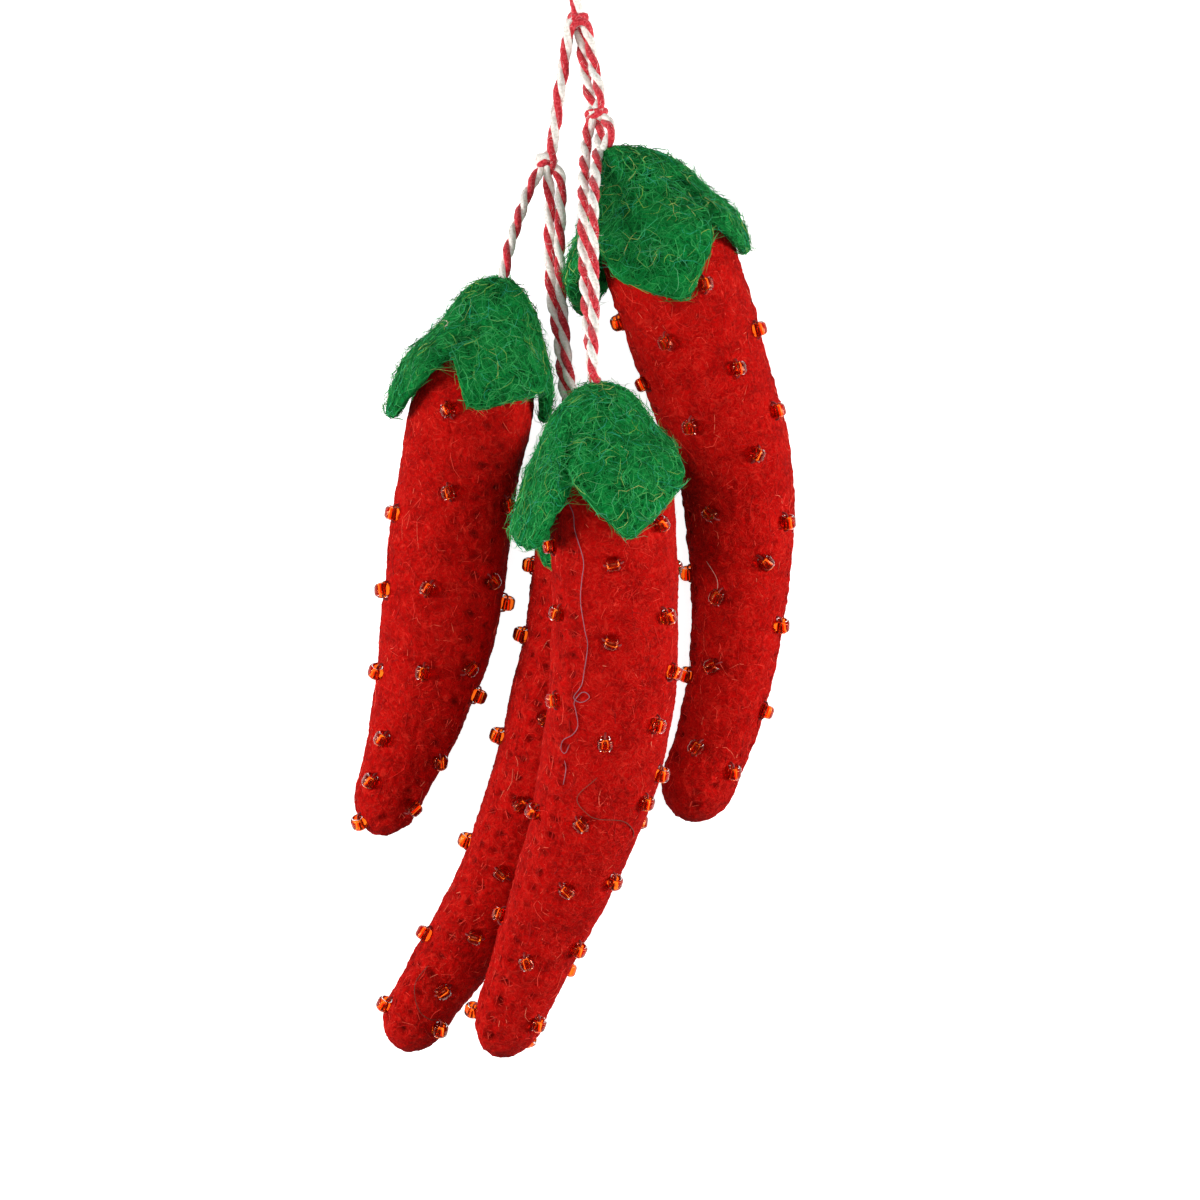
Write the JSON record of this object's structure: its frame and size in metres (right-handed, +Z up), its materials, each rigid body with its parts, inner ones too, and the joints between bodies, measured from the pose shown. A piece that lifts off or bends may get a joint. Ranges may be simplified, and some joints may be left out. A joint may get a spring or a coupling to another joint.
{
  "type": "felt chilli bunch ornament",
  "caption": "Hanging bunch of stuffed red felt chillies with green felt caps and sewn-on glass seed beads, tied together on striped cotton twine with a hanging loop.",
  "frame": {"origin": "bottom centre of the box round the felt pieces, on the surface that the bunch lies on", "axes": "+Y along the bunch towards its hanging loop, +Z up through the shown side, +X to the right of the shown side"},
  "size_m": [0.064, 0.1889, 0.0489],
  "materials": {
    "red_felt": "needled wool felt, matt and slightly hairy",
    "green_felt": "needled wool felt, mottled green",
    "striped_twine": "two twisted cotton plies, one red and one off-white",
    "bead_glass": "transparent orange-red glass"
  },
  "bodies": {
    "root": {"chilli_left": "red_felt", "chilli_right": "red_felt", "chilli_back": "red_felt", "chilli_front": "red_felt", "calyx_left": "green_felt", "calyx_right": "green_felt", "calyx_back": "green_felt", "calyx_front": "green_felt", "knot_top": "striped_twine", "knot_left": "striped_twine", "knot_right": "striped_twine", "twine_hanger": "striped_twine", "twine_top_left_a": "striped_twine", "twine_top_left_b": "striped_twine", "twine_top_right_a": "striped_twine", "twine_top_right_b": "striped_twine", "twine_left": "striped_twine", "twine_back_a": "striped_twine", "twine_back_b": "striped_twine", "twine_right": "striped_twine", "twine_front_a": "striped_twine", "twine_front_b": "striped_twine"}
  },
  "joints": []
}
